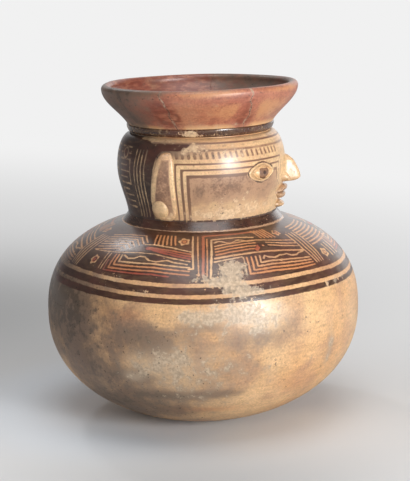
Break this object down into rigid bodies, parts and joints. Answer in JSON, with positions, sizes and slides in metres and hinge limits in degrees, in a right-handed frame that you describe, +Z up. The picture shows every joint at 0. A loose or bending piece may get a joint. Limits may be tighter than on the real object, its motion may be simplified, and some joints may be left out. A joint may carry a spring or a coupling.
{
  "type": "anthropomorphic globular vase",
  "caption": "Hand-built round-bellied clay jar whose wide neck is a human head with ears, face and a flared, mended rim.",
  "frame": {"origin": "on the body's axis, in the plane that the jar rests on", "axes": "+Z up along the body's axis, the face looks towards -Y, +X is the head's own left"},
  "size_m": [0.234, 0.234, 0.25],
  "materials": {
    "buff_clay": "burnished buff slip with fire clouds and fine dark specks",
    "painted_shoulder": "burnished cream and orange slip under dark brown painted line work",
    "head_slip": "burnished cream slip with brown painted bands, black at the back of the head",
    "red_slip": "worn, lightly burnished red slip",
    "dark_slip": "glossy dark brown slip",
    "cream_slip": "burnished cream slip, worn at the edges"
  },
  "bodies": {
    "root": {"base_bowl": "buff_clay", "lower_belly_wall": "buff_clay", "upper_belly_wall": "buff_clay", "lower_shoulder_wall": "painted_shoulder", "upper_shoulder_wall": "painted_shoulder", "neck_foot_roll": "dark_slip", "lower_head_wall": "head_slip", "upper_head_wall": "head_slip", "throat_ridge": "dark_slip", "rim_sherd_side": "red_slip", "rim_sherd_front": "red_slip", "rim_sherd_back": "red_slip", "right_ear": "head_slip", "left_ear": "head_slip", "right_ear_pellet": "cream_slip", "left_ear_pellet": "cream_slip", "right_eye": "cream_slip", "left_eye": "cream_slip", "nose": "cream_slip", "upper_lip": "cream_slip", "lower_lip": "cream_slip", "chin": "cream_slip"}
  },
  "joints": []
}
